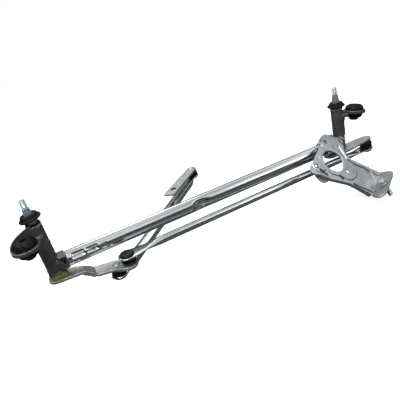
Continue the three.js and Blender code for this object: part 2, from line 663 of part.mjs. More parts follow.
const longLink = frameAt(leftBall, rightBall.clone().sub(leftBall), up);
longLink.add(...longLinkPieces(leftBall.distanceTo(rightBall)));

const driveRod = frameAt(driveBall, CRANK_BALL.clone().sub(driveBall), up);
driveRod.add(...driveRodPieces(driveBall.distanceTo(CRANK_BALL)));

const crankDirection = polar(1, CRANK_ANGLE);
const motorCrank = frameAt(CRANK_BALL, new THREE.Vector3(crankDirection.x, crankDirection.y, 0), up);
motorCrank.add(...motorCrankPieces());

const across = new THREE.Vector3(0, 0, 1).cross(BRACKET_NORMAL);
const bracket = frameAt(BRACKET_CENTRE, across, BRACKET_NORMAL);
bracket.add(...bracketPieces(), node('string_tie', stringGeometry(), STRING));

const tubeStart = HOUSING_R + 9.5 + GAP;
const tubeLength = PIVOT_SPACING - 2 * tubeStart;
const frameTube = node('frame_tube', frameTubeGeometry(tubeLength), ZINC);
const spigotShift = TUBE_Z * Math.sin(rad(SPINDLE_LEAN));
frameTube.position.set(tubeStart - spigotShift, 0, TUBE_Z * Math.cos(rad(SPINDLE_LEAN)));
assembly.add(leftPivot, rightPivot, longLink, driveRod, motorCrank, bracket, frameTube);
assembly.add(node('tube_saddle', saddleGeometry(bracket), PLATE));

// The origin is the centre of the whole assembly's box.
assembly.updateMatrixWorld(true);
assembly.position.sub(new THREE.Box3().setFromObject(assembly, true).getCenter(new THREE.Vector3()));

export default assembly;
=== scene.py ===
"""A windshield wiper linkage: fine shapes, finishes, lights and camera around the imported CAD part."""
import json
import math

import bmesh
import bpy
import numpy as np
from mathutils import Matrix, Vector


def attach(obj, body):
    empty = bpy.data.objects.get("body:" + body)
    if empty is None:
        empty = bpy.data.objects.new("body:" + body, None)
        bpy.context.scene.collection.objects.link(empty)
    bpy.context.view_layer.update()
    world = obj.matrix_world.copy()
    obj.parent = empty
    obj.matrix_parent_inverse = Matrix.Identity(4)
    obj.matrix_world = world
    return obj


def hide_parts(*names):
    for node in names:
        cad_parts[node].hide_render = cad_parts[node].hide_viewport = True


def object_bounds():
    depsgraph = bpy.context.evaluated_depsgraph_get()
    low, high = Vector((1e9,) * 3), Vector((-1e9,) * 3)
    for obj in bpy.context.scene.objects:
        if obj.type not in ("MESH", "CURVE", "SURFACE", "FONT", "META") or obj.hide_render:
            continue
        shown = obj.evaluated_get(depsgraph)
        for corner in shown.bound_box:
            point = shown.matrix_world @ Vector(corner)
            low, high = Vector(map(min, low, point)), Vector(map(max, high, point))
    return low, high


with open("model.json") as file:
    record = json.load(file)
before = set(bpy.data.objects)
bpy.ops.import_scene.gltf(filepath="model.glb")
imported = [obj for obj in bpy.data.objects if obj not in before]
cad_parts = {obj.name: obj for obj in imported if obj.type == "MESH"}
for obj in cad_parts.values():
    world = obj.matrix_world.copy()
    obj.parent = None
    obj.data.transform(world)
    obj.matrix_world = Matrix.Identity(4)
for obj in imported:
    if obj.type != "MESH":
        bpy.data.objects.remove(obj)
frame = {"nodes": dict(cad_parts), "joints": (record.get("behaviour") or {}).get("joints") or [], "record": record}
cad_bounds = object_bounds()
scene = bpy.context.scene

# ---- driving dimensions, in millimetres, in the frames built below --------------------------------
MM = 0.001
JOINT_HEIGHT = 40            # the pivot joints' place above each pivot frame's origin
GAP = 0.3

SPINDLE_TIP_Z = 121
SPINDLE_R = 6
THREAD_LENGTH = 10
THREAD_R = 4
THREAD_DEPTH = 0.62
THREAD_PITCH = 1.25
SPLINES = 36
SPLINE_HALF_DEPTH = 0.2
CONE_BASE_Z = 93
CONE_BASE_R = 6.6
CONE_TIP_R = 4.5
HOUSING_TOP_Z = 84
LOWER_WASHER_R = 9.5
THRUST_WASHER_R = 10.4
THRUST_WASHER_HIGH = 1.7     # heights above the housing's top
CLIP_R = 9.4
CLIP_LOW, CLIP_HIGH = 2, 4.2
CAP_HEIGHT = 7.6
# heights from each pivot frame's origin, tilts in degrees, eye: reach, direction in degrees, height
LEFT = {"lever_top": 3.5, "housing_bottom": 8, "cap_base": 94, "cap_tilt": -5,
        "eye": (28, 231, 68.5), "eye_tilt": 0}
RIGHT = {"lever_top": 9, "housing_bottom": 11, "cap_base": 88.5, "cap_tilt": 0,
         "eye": (32, -17, 71), "eye_tilt": 12}

GROMMET_BORE_R = 4.5
GROMMET_LOW, GROMMET_HIGH = -14.5, 12
GROMMET_LIP = 2.8
GROMMET_NECK_R = 12.5
GROMMET_SLITS = (0.35, 2.45, 4.54)      # angles round the dome
EYE_WALL_R = (16.2, 18.3)
EYE_WALL_RISE = 19
BOSS_SIZE = (10.5, 20.5, 20)
BOSS_X = 14
POCKET = [(10.6, 7), (18.2, 6.4), (16.2, -6.5)]     # corners on the boss's front, above the tube's axis
POCKET_DEPTH = 5.5

LEVER_THICKNESS = 4.2
CRANK_THICKNESS = 4
BALL_R = 6.5
BALL_OFFSET = 9.5
OPEN_BALL_R = 5.5
OPEN_BALL_OFFSET = 7.2
CRANK_BALL_OFFSET = 9
SOCKET_R = 10.6
LEFT_JOGGLE = 13.5
LEFT_OUTER_TOP = LEFT["lever_top"] - LEFT_JOGGLE
JOGGLE_STRAIGHT = (31, 13)   # where the solid's straight step starts, and its length
JOGGLE_EASED = (25, 50)      # where the S-bend starts and ends
LINK_BALL = (91.5, -29.5)
DRIVE_BALL = (75, -17)
RIGHT_BALL = (62, 0)
CRANK_ANGLE = 222.5
CRANK_LENGTH = 94
CRANK_SHAFT_R = 5
CRANK_TEETH = 30

LINK_EYE_R = 9.1
LINK_PLATE = 3
LINK_PLATE_LOW = 1.2
OPEN_PLATE_LOW = 7.6
LINK_TUBE_R = 6
LINK_FLAT_END = 26           # from each ball to the end of the link's flat part
LINK_TUBE_START = 62         # from each ball to the link's round part
DRIVE_EYE_R = 12.5
DRIVE_HALF_WIDTH = 9
DRIVE_DEPTH = 9
DRIVE_WALL = 2.2

TUBE_R = 11
TUBE_WALL = 1.4
TUBE_Z = 22.4
TUBE_START = 19.7            # from each spindle axis to the frame tube's end
TUBE_LEAN = 2                # degrees
TUBE_FRONT = math.radians(152)
# centre from the left end (right end if negative), turn from the front, half length, half angle, depth
TUBE_DENTS = [(15, 0, 9.5, 0.4, 2.4), (34.5, 0.05, 8.5, 0.38, 2.2), (51, 0.35, 4, 0.34, 1.9),
              (-18, 0, 7, 0.42, 2.2), (-36, 0.1, 4, 0.3, 1.6)]
DIMPLE_AT = 0.413            # share of the tube's length
DIMPLE_TURN = math.radians(182)
DIMPLE_HALF_ANGLE = 1.05
DIMPLE_DEPTH = 5.6
DIMPLE_LIP = 6               # length of its steep left side
DIMPLE_RUN_OUT = 30          # length of its right side
DIMPLE_CURVE = 7             # how far its lip curves back round the tube

BRACKET_FROM_LEFT = Vector((450.3, -43.2, 22.2))
BRACKET_NORMAL = Vector((0.18, -0.72, 0.67)).normalized()
BRACKET_PLATE = 3
BRACKET_WALL = (2.4, 9)      # thickness and depth
BRACKET_OUTLINE = [
    (34.5, 41), (26, 42), (16, 39.5), (5.8, 35.5), (3.5, 32), (9.5, 31), (-6, 24), (-33, 13), (-44, 9.5),
    (-51, 3), (-51, -3), (-46, -8), (-38, -13), (-26.6, -27.3), (-0.5, -49.5), (8, -61), (21.2, -85.5),
    (78, -65.8), (58.6, -40.8), (42.3, -19), (40, -10), (43.5, 0), (52, 8), (57, 14), (57, 21), (53, 25.5),
    (43, 31),
]
BRACKET_WALLS = [[(-38, -13), (-26.6, -27.3), (-0.5, -49.5), (8, -61), (21.2, -85.5)],
                 [(76, -63.3), (58.6, -40.8), (42.3, -19)]]
MOTOR_HOLE = (3, -5, 20)     # place and radius, as for the screw holes and the pad's lobes
SCREW_CIRCLE_R = 35
SCREW_HOLE_R = 3.4
SCREW_HOLES = [(SCREW_CIRCLE_R * math.cos(a), SCREW_CIRCLE_R * math.sin(a), SCREW_HOLE_R)
               for a in np.radians([55, 175, 293])]
PAD_LOBES = [(3, -5, 27), (15, -26, 21.8), (-30, 2, 12), (19, 25, 12)]
PAD_STEP = 1.6
# centre lines in plan, of the grooves beside the pad and along the walls
GROOVES = [[(38.9, 11.4), (35.7, -1.5), (32.1, -15.8), (37.4, -25.4), (52.7, -43.8), (68.7, -68.3)],
           [(50.6, 18.4), (52.5, 9.6)], [(-33.8, -5), (-27, -18.7)], [(-6.8, -31.1), (-4.6, -38.6)],
           [(7.3, -55.2), (26.3, -83.1)]]
GROOVE_DEPTH = 3.0
DIMPLES = [(73, -71), (31, -86)]                    # where the walls meet the flange
DIMPLE_PRESS = 1.6
FLANGE_FOOT = (49.6, -75.7, -1.5)
FLANGE_TURN, FLANGE_BEND = 19, 70
FLANGE_HALF = 1.5            # half the flange's thickness
FLANGE_OUTLINE = [(-30, -1), (30, -1), (37, 6), (42, 17), (37, 24), (30, 26.5), (-12, 26.5), (-20, 24),
                  (-24, 19), (-27, 8)]
STUD_PLACE = (7, 15)
STUD_R = 4
STUD_HOLE_R = 4.3
STUD_LOW, STUD_HIGH = -24, 10

STRING_POINTS = [(54.5, 23.5, 1.2), (58.5, 16, 1.6), (61.8, 7, 1.8), (64.8, -7, 2), (65.4, -20, 2.2),
                 (62.8, -31, 2.6), (59, -41, 3.2), (55.3, -50, 3.6), (51.5, -60, 2.8), (47.2, -72, 1.3)]
STRING_DIAMETER = 1.4

CAMERA_FROM_LEFT = Vector((18.290, -514.990, 238.417))
CAMERA_RIGHT = Vector((0.864336, -0.456526, -0.210967))
CAMERA_UP = Vector((0.366759, 0.285163, 0.885534))
CAMERA_BACK = Vector((-0.344109, -0.842773, 0.413912))
LENS = 36
# name, place and size in metres, power in watts
LIGHTS = [("key", (-0.8, -0.6, 1.6), 0.7, 17), ("fill", (1.2, -1.3, 0.9), 0.8, 2.5),
          ("back", (0.2, 1.5, 1.3), 0.8, 4)]
# share of the way up, and how bright
SKY_STOPS = [(0.22, 0.03), (0.38, 0.16), (0.5, 0.75), (0.8, 0.95), (0.88, 0.35)]
FLOOR_HALF = 6               # metres
FLOOR_DROP = 0.002           # metres below the object's lowest point
FLOOR_TO_METAL, FLOOR_TO_CAMERA, FLOOR_GLOW = (0.1, 0.105, 0.1, 1), (0.9, 0.9, 0.9, 1), 0.72


# ---- frames ---------------------------------------------------------------------------------------
def axes(origin, along, up):
    """A frame at a place in metres whose X and Z point along (nearly) the given directions."""
    x = Vector(along).normalized()
    y = Vector(up).cross(x).normalized()
    z = x.cross(y)
    columns = Matrix((x, y, z)).transposed().to_4x4()
    return Matrix.Translation(origin) @ columns @ Matrix.Diagonal((MM, MM, MM, 1))


JOINTS = {j["name"]: j for j in frame["joints"]}
UP = Vector(JOINTS["left_pivot"]["axis"]).normalized()
ACROSS = Vector((0, 1, 0)).cross(UP)


def joint_place(name):
    return Vector(JOINTS[name]["pos_m"])


def pivot_frame(name):
    return axes(joint_place(name) - UP * JOINT_HEIGHT * MM, ACROSS, UP)


PIVOT = {"left": pivot_frame("left_pivot"), "right": pivot_frame("right_pivot")}
ORIGIN = PIVOT["left"].translation
RIGHT_BALL_Z = RIGHT["lever_top"] - LEVER_THICKNESS - OPEN_BALL_OFFSET
right_ball = PIVOT["right"] @ Vector((*RIGHT_BALL, RIGHT_BALL_Z))
left_ball = joint_place("long_link_swing")
drive_ball = joint_place("drive_link_swing")
crank_ball = joint_place("motor_crank_swing")
LINK = axes(left_ball, right_ball - left_ball, UP)
LINK_LENGTH = (right_ball - left_ball).length / MM
DRIVE = axes(drive_ball, crank_ball - drive_ball, UP)
DRIVE_LENGTH = (crank_ball - drive_ball).length / MM
crank_turn = math.radians(CRANK_ANGLE)
CRANK = axes(crank_ball, (math.cos(crank_turn), math.sin(crank_turn), 0), UP)
BRACKET = axes(ORIGIN + BRACKET_FROM_LEFT * MM, Vector((0, 0, 1)).cross(BRACKET_NORMAL), BRACKET_NORMAL)
FLANGE = BRACKET @ Matrix.Translation(FLANGE_FOOT) \
    @ Matrix.Rotation(math.radians(FLANGE_TURN) + math.pi, 4, "Z") \
    @ Matrix.Rotation(math.radians(FLANGE_BEND), 4, "X")


# ---- materials ------------------------------------------------------------------------------------
def surface(name, dark, light, rough, *, scale, bump, grain, metallic=1.0, stretch=(1, 1, 1),
            wear=None, crease_shade=None, painted_shade=None, coat=0.0, specular=0.5):
    """A noisy two-colour finish: broad stains, fine grain in the bump, uneven gloss, worn edges, painted shade in
    the creases and a mask of painted shade.
    """
    made = bpy.data.materials.new(name)
    made.use_nodes = True
    nodes, links = made.node_tree.nodes, made.node_tree.links
    shader = nodes["Principled BSDF"]
    shader.inputs["Metallic"].default_value = metallic
    shader.inputs["Coat Weight"].default_value = coat
    shader.inputs["Specular IOR Level"].default_value = specular
    where = nodes.new("ShaderNodeTexCoord")
    mapping = nodes.new("ShaderNodeMapping")
    mapping.inputs["Scale"].default_value = stretch
    links.new(where.outputs["Object"], mapping.inputs["Vector"])

    def noise(size, detail):
        found = nodes.new("ShaderNodeTexNoise")
        found.inputs["Scale"].default_value = size
        found.inputs["Detail"].default_value = detail
        found.inputs["Roughness"].default_value = 0.6
        links.new(mapping.outputs["Vector"], found.inputs["Vector"])
        return found.outputs["Fac"]

    def tinted(base, tint, share):
        mix = nodes.new("ShaderNodeMix")
        mix.data_type = "RGBA"
        mix.inputs["B"].default_value = (*tint, 1)
        links.new(share, mix.inputs["Factor"])
        links.new(base, mix.inputs["A"])
        return mix.outputs["Result"]

    stains = noise(scale, 6)
    ramp = nodes.new("ShaderNodeValToRGB")
    ramp.color_ramp.elements[0].position = 0.35
    ramp.color_ramp.elements[0].color = (*dark, 1)
    ramp.color_ramp.elements[1].position = 0.68
    ramp.color_ramp.elements[1].color = (*light, 1)
    links.new(stains, ramp.inputs["Fac"])
    colour = ramp.outputs["Color"]
    # The first tint lightens convex edges as wear; the second darkens concave places by pointiness, which is
    # painted shade in the creases.
    for tint, low, high in ((wear, 0.52, 0.62), (crease_shade, 0.485, 0.43)):
        if not tint:
            continue
        edges = nodes.new("ShaderNodeNewGeometry")
        share = nodes.new("ShaderNodeMapRange")
        share.inputs["From Min"].default_value = low
        share.inputs["From Max"].default_value = high
        links.new(edges.outputs["Pointiness"], share.inputs["Value"])
        colour = tinted(colour, tint, share.outputs["Result"])
    # A mesh attribute darkens the colour where shade is painted, as in the bracket's grooves, pad step, dimples
    # and flange.
    if painted_shade:
        shade = nodes.new("ShaderNodeAttribute")
        shade.attribute_name = "painted_shade"
        colour = tinted(colour, painted_shade, shade.outputs["Fac"])
    links.new(colour, shader.inputs["Base Color"])
    gloss = nodes.new("ShaderNodeMapRange")
    gloss.inputs["From Min"].default_value = 0.3
    gloss.inputs["From Max"].default_value = 0.7
    gloss.inputs["To Min"].default_value = rough[0]
    gloss.inputs["To Max"].default_value = rough[1]
    links.new(noise(scale * 2.7, 4), gloss.inputs["Value"])
    links.new(gloss.outputs["Result"], shader.inputs["Roughness"])
    relief = nodes.new("ShaderNodeBump")
    relief.inputs["Strength"].default_value = bump
    relief.inputs["Distance"].default_value = 0.0006
    links.new(noise(grain, 3), relief.inputs["Height"])
    links.new(relief.outputs["Normal"], shader.inputs["Normal"])
    return made


TUBE_ZINC = surface("tube_zinc", (0.6, 0.62, 0.63), (0.84, 0.86, 0.87), (0.12, 0.24), stretch=(0.06, 1, 1),
                    scale=160, bump=0.12, grain=1400)
ROD_ZINC = surface("rod_zinc", (0.54, 0.57, 0.58), (0.8, 0.83, 0.84), (0.14, 0.3), stretch=(0.08, 1, 1),
                   scale=180, bump=0.12, grain=1400)
# Its concave tint and its mesh-mask tint are painted shade in the creases, grooves, pad step, dimples and flange.
PLATE_ZINC = surface("plate_zinc", (0.52, 0.55, 0.57), (0.72, 0.75, 0.77), (0.34, 0.5), scale=45, bump=0.1,
                     grain=1200, wear=(0.85, 0.88, 0.9), crease_shade=(0.16, 0.18, 0.19), painted_shade=(0.03, 0.035, 0.04))
# Its concave tint is painted shade in the creases.
LEVER_ZINC = surface("lever_zinc", (0.4, 0.42, 0.4), (0.6, 0.62, 0.59), (0.38, 0.55), scale=70, bump=0.15,
                     grain=1500, metallic=0.8, wear=(0.75, 0.76, 0.72), crease_shade=(0.22, 0.23, 0.2))
# Its near-black concave tint is painted shade in the casting's creases.
CASTING = surface("casting", (0.15, 0.14, 0.142), (0.24, 0.23, 0.23), (0.36, 0.5), metallic=0.8, scale=60,
                  bump=0.35, grain=1100, wear=(0.4, 0.39, 0.39), crease_shade=(0.03, 0.03, 0.03))
STEEL = surface("steel", (0.62, 0.7, 0.78), (0.84, 0.9, 0.96), (0.3, 0.45), metallic=0.9, scale=220,
                bump=0.08, grain=1800)
BRONZE = surface("bronze", (0.2, 0.13, 0.07), (0.36, 0.26, 0.15), (0.4, 0.6), scale=300, bump=0.2, grain=2000)
RUBBER = surface("rubber", (0.002, 0.002, 0.002), (0.007, 0.007, 0.007), (0.4, 0.6), metallic=0, scale=150,
                 bump=0.25, grain=1500, specular=0.22)
PLASTIC = surface("black_plastic", (0.003, 0.003, 0.0035), (0.009, 0.009, 0.01), (0.3, 0.45), metallic=0,
                  scale=200, bump=0.1, grain=1800, specular=0.28)
GREASE = surface("grease", (0.025, 0.04, 0.006), (0.42, 0.5, 0.08), (0.12, 0.3), metallic=0, scale=330,
                 bump=0.3, grain=500, coat=0.6)
STRING = surface("string", (0.55, 0.55, 0.52), (0.85, 0.85, 0.82), (0.55, 0.7), metallic=0, scale=900,
                 bump=0.4, grain=2500)
MATERIAL_OF_SLOT = {
    "steel": STEEL, "zinc_tube": ROD_ZINC, "bracket_plate": PLATE_ZINC, "lever_plate": LEVER_ZINC,
    "casting": CASTING, "bush_bronze": BRONZE, "rubber": RUBBER, "black_plastic": PLASTIC, "string": STRING,
}
for subpart in frame["record"]["subparts"]:
    node_object = frame["nodes"][subpart["node"]]
    node_object.data.materials.clear()
    node_object.data.materials.append(MATERIAL_OF_SLOT[subpart["material_slot"]])


# ---- mesh helpers ---------------------------------------------------------------------------------
def to_mesh(name, points, faces, matrix):
    """A mesh of points given in a frame's millimetres, with its faces turned outwards."""
    mesh = bpy.data.meshes.new(name)
    mesh.from_pydata([matrix @ Vector(p) for p in points], [], faces)
    work = bmesh.new()
    work.from_mesh(mesh)
    bmesh.ops.recalc_face_normals(work, faces=work.faces)
    work.to_mesh(mesh)
    work.free()
    return mesh


def show(name, mesh, material, body, replaced=(), sharp=40):
    """Makes the mesh a piece of the object, smooth up to its sharp edges."""
    piece = bpy.data.objects.new(name, mesh)
    scene.collection.objects.link(piece)
    mesh.materials.clear()
    mesh.materials.append(material)
    mesh.shade_smooth()
    mesh.set_sharp_from_angle(angle=math.radians(sharp))
    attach(piece, body)
    if replaced:
        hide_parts(*replaced)


def rounded(profile, radius=0.5, closed=False):
    """The profile with each corner off the axis cut by a small arc."""
    count = len(profile)
    out = []
    for i, (r, z) in enumerate(profile):
        inside = closed or 0 < i < count - 1
        if not inside or r < 0.01:
            out.append((r, z))
            continue
        corner = Vector((r, z))
        before = Vector(profile[i - 1]) - corner
        after = Vector(profile[(i + 1) % count]) - corner
        cut = min(radius, before.length * 0.45, after.length * 0.45)
        a = corner + before.normalized() * cut
        b = corner + after.normalized() * cut
        for t in (0, 1 / 3, 2 / 3, 1):
            p = a * (1 - t) ** 2 + corner * 2 * t * (1 - t) + b * t ** 2
            out.append((p.x, p.y))
    return out


def turned(name, profile, matrix, segments=72, relief=None, closed=False):
    """A solid of revolution about Z. relief(r, z, angle) is added to the radius."""
    points, rings, faces = [], [], []
    for r, z in profile:
        if r < 0.01:
            rings.append([len(points)])
            points.append((0, 0, z))
            continue
        ring = []
        for i in range(segments):
            angle = 2 * math.pi * i / segments
            radius = r + (relief(r, z, angle) if relief else 0)
            ring.append(len(points))
            points.append((radius * math.cos(angle), radius * math.sin(angle), z))
        rings.append(ring)
    pairs = list(zip(rings, rings[1:] + rings[:1])) if closed else list(zip(rings, rings[1:]))
    for low, high in pairs:
        for i in range(segments):
            j = (i + 1) % segments
            if len(low) == 1:
                faces.append((low[0], high[i], high[j]))
            elif len(high) == 1:
                faces.append((low[i], low[j], high[0]))
            else:
                faces.append((low[i], low[j], high[j], high[i]))
    return to_mesh(name, points, faces, matrix)


def skin(name, sections, matrix, caps=True):
    """A surface through matching closed sections."""
    count = len(sections[0])
    points = [p for section in sections for p in section]
    faces = []
    for s in range(len(sections) - 1):
        for i in range(count):
            a, b = s * count + i, s * count + (i + 1) % count
            faces.append((a, b, b + count, a + count))
    if caps:
        faces.append(tuple(range(count)))
        faces.append(tuple(range((len(sections) - 1) * count, len(sections) * count)))
    return to_mesh(name, points, faces, matrix)


def flat_plate(outline, z0, z1, holes):
    """A plate as a bmesh in a frame's millimetres. holes is a list of (x, y, radius)."""
    work = bmesh.new()
    around = np.linspace(0, 2 * math.pi, 49)[:-1]
    loops = [outline] + [[(x + r * math.cos(a), y + r * math.sin(a)) for a in around] for x, y, r in holes]
    edges = []
    for loop in loops:
        corners = [work.verts.new((x, y, z0)) for x, y in loop]
        edges += [work.edges.new((a, b)) for a, b in zip(corners, corners[1:] + corners[:1])]
    bmesh.ops.triangle_fill(work, use_beauty=True, edges=edges)
    grown = bmesh.ops.extrude_face_region(work, geom=work.faces[:])
    lifted = [g for g in grown["geom"] if isinstance(g, bmesh.types.BMVert)]
    bmesh.ops.translate(work, verts=lifted, vec=(0, 0, z1 - z0))
    bmesh.ops.recalc_face_normals(work, faces=work.faces)
    return work


def block(size, centre, turn=0.0, foot=(0, 0)):
    """A box bmesh turned about Z and moved to foot."""
    work = bmesh.new()
    bmesh.ops.create_cube(work, size=1, matrix=Matrix.Translation((*foot, 0)) @ Matrix.Rotation(turn, 4, "Z")
                          @ Matrix.Translation(centre) @ Matrix.Diagonal((*size, 1)))
    return work


def joined(name, parts, matrix=None):
    """One mesh from several bmeshes in a frame's millimetres, or from meshes already in place."""
    work = bmesh.new()
    for part in parts:
        mesh = part
        if isinstance(part, bmesh.types.BMesh):
            mesh = bpy.data.meshes.new(name)
            part.to_mesh(mesh)
            part.free()
            mesh.transform(matrix)
        work.from_mesh(mesh)
    mesh = bpy.data.meshes.new(name)
    work.to_mesh(mesh)
    work.free()
    return mesh


def softened(mesh, voxel, passes):
    """One skin round everything in the mesh, its edges rounded as on a casting or a pressing."""
    holder = bpy.data.objects.new("holder", mesh)
    scene.collection.objects.link(holder)
    remesh = holder.modifiers.new("remesh", "REMESH")
    remesh.mode = "VOXEL"
    remesh.voxel_size = voxel * MM
    smooth = holder.modifiers.new("smooth", "SMOOTH")
    smooth.factor = 0.5
    smooth.iterations = passes
    graph = bpy.context.evaluated_depsgraph_get()
    made = bpy.data.meshes.new_from_object(holder.evaluated_get(graph))
    bpy.data.objects.remove(holder)
    return made


def node_mesh(name):
    return frame["nodes"][name].data.copy()


def local_points(mesh, matrix):
    """The mesh's points in the frame's millimetres."""
    points = np.empty(len(mesh.vertices) * 3, np.float32)
    mesh.vertices.foreach_get("co", points)
    back = np.array(matrix.inverted())
    return points.reshape(-1, 3) @ back[:3, :3].T + back[:3, 3]


def reshape(mesh, matrix, change):
    """Moves a mesh's points by change(xyz array in the frame's millimetres)."""
    local = change(local_points(mesh, matrix))
    forward = np.array(matrix)
    points = local @ forward[:3, :3].T + forward[:3, 3]
    mesh.vertices.foreach_set("co", points.astype(np.float32).ravel())
    mesh.update()


def step(value, low, high):
    """0 below low, 1 above high, and smooth between them."""
    t = np.clip((value - low) / (high - low), 0, 1)
    return t * t * (3 - 2 * t)


def near_line(points, line):
    """Distance in plan from each point to a polyline."""
    best = np.full(len(points), 1e9)
    for (ax, ay), (bx, by) in zip(line, line[1:]):
        ex, ey = bx - ax, by - ay
        t = np.clip(((points[:, 0] - ax) * ex + (points[:, 1] - ay) * ey) / (ex * ex + ey * ey), 0, 1)
        best = np.minimum(best, np.hypot(points[:, 0] - ax - t * ex, points[:, 1] - ay - t * ey))
    return best


# ---- string tie -----------------------------------------------------------------------------------
def through(points):
    """Points on a smooth curve through the given ones."""
    steps = 6
    padded = [points[0]] + list(points) + [points[-1]]
    out = []
    for a, b, c, d in zip(padded, padded[1:], padded[2:], padded[3:]):
        for i in range(steps):
            t = i / steps
            out.append(0.5 * ((2 * b) + (c - a) * t + (2 * a - 5 * b + 4 * c - d) * t * t
                              + (3 * b - a - 3 * c + d) * t ** 3))
    return out + [points[-1]]


def make_string():
    path = through([BRACKET @ Vector(p) for p in STRING_POINTS])
    curve = bpy.data.curves.new("string_tie_line", "CURVE")
    curve.dimensions = "3D"
    curve.bevel_depth = STRING_DIAMETER / 2 * MM
    curve.bevel_resolution = 3
    curve.use_fill_caps = True
    line = curve.splines.new("POLY")
    line.points.add(len(path) - 1)
    for point, place in zip(line.points, path):
        point.co = (*place, 1)
    curve.materials.append(STRING)
    tie = bpy.data.objects.new("string_tie_line", curve)
    scene.collection.objects.link(tie)
    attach(tie, "frame")
    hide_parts("string_tie")


make_string()


# ---- camera, floor and lights ---------------------------------------------------------------------
def make_camera():
    camera = bpy.data.objects.new("camera", bpy.data.cameras.new("camera"))
    camera.data.lens = LENS
    camera.data.sensor_width = 36
    camera.data.clip_start = 0.01
    turn = Matrix((CAMERA_RIGHT, CAMERA_UP, CAMERA_BACK)).transposed().to_4x4()
    camera.matrix_world = Matrix.Translation(joint_place("left_pivot") + CAMERA_FROM_LEFT * MM) @ turn
    scene.collection.objects.link(camera)
    scene.camera = camera


def make_floor():
    """Nearly white to the camera, and dim in the metal's reflections."""
    half = FLOOR_HALF
    z = cad_bounds[0][2] - FLOOR_DROP
    mesh = bpy.data.meshes.new("floor")
    corners = [(-half, -half, z), (half, -half, z), (half, half, z), (-half, half, z)]
    mesh.from_pydata(corners, [], [(0, 1, 2, 3)])
    pale = bpy.data.materials.new("pale_floor")
    pale.use_nodes = True
    nodes, links = pale.node_tree.nodes, pale.node_tree.links
    shader = nodes["Principled BSDF"]
    shader.inputs["Roughness"].default_value = 0.9
    shader.inputs["Specular IOR Level"].default_value = 0.1
    shader.inputs["Emission Color"].default_value = (1, 1, 1, 1)
    path = nodes.new("ShaderNodeLightPath")
    tone = nodes.new("ShaderNodeMix")
    tone.data_type = "RGBA"
    tone.inputs["A"].default_value = FLOOR_TO_METAL
    tone.inputs["B"].default_value = FLOOR_TO_CAMERA
    glow = nodes.new("ShaderNodeMath")
    glow.operation = "MULTIPLY"
    glow.inputs[1].default_value = FLOOR_GLOW
    links.new(path.outputs["Is Camera Ray"], tone.inputs["Factor"])
    links.new(path.outputs["Is Camera Ray"], glow.inputs[0])
    links.new(tone.outputs["Result"], shader.inputs["Base Color"])
    links.new(glow.outputs["Value"], shader.inputs["Emission Strength"])
    mesh.materials.append(pale)
    floor = bpy.data.objects.new("floor", mesh)
    scene.collection.objects.link(floor)


def soft_light(name, place, size, power):
    lamp = bpy.data.lights.new(name, "AREA")
    lamp.shape = "DISK"
    lamp.size = size
    lamp.energy = power
    light = bpy.data.objects.new(name, lamp)
    light.location = place
    light.rotation_euler = (-Vector(place)).to_track_quat("-Z", "Y").to_euler()
    scene.collection.objects.link(light)


def make_world():
    """White to the camera; to the metal, bright above and dim towards the horizon."""
    world = bpy.data.worlds.new("studio")
    scene.world = world
    world.use_nodes = True
    nodes, links = world.node_tree.nodes, world.node_tree.links
    background = nodes["Background"]
    where = nodes.new("ShaderNodeTexCoord")
    split = nodes.new("ShaderNodeSeparateXYZ")
    links.new(where.outputs["Generated"], split.inputs["Vector"])
    ramp = nodes.new("ShaderNodeValToRGB")
    stops = ramp.color_ramp.elements
    stops[0].position, stops[0].color = 0.0, (0.012, 0.013, 0.015, 1)
    stops[1].position, stops[1].color = 1.0, (0.8, 0.8, 0.8, 1)
    for place, grey in SKY_STOPS:
        stop = stops.new(place)
        stop.color = (grey, grey * 1.01, grey * 1.03, 1)
    links.new(split.outputs["Z"], ramp.inputs["Fac"])
    path = nodes.new("ShaderNodeLightPath")
    mix = nodes.new("ShaderNodeMix")
    mix.data_type = "RGBA"
    mix.inputs["B"].default_value = (1, 1, 1, 1)
    links.new(path.outputs["Is Camera Ray"], mix.inputs["Factor"])
    links.new(ramp.outputs["Color"], mix.inputs["A"])
    links.new(mix.outputs["Result"], background.inputs["Color"])


make_camera()
make_floor()
make_world()
for light_row in LIGHTS:
    soft_light(*light_row)
scene.view_settings.view_transform = "Standard"


# ---- pivots ---------------------------------------------------------------------------------------
def spindle_profile(lever_top):
    """Riveted foot, shaft, cone, threaded tip and its centre hole."""
    bottom = lever_top - LEVER_THICKNESS
    neck = SPINDLE_TIP_Z - THREAD_LENGTH
    base = rounded([(0, bottom - 3), (7.2, bottom - 2.4), (8, bottom - GAP), (SPINDLE_R, bottom - GAP),
                    (SPINDLE_R, CONE_BASE_Z - 1), (CONE_BASE_R, CONE_BASE_Z)])[:-1]
    taper, rise = CONE_BASE_R - CONE_TIP_R, neck - 1.5 - CONE_BASE_Z
    cone = [(CONE_BASE_R - taper * t ** 1.3, CONE_BASE_Z + t * rise) for t in np.linspace(0, 1, 9)]
    thread = [(THREAD_R - 0.05, z) for z in np.linspace(neck + 0.5, SPINDLE_TIP_Z - 0.9, 60)]
    tip = [(THREAD_R - 0.7, SPINDLE_TIP_Z), (1.9, SPINDLE_TIP_Z), (1.5, SPINDLE_TIP_Z - 1.6),
           (0, SPINDLE_TIP_Z - 2)]
    return base + cone + [(3.4, neck - 1), (3.4, neck - 0.1)] + thread + tip


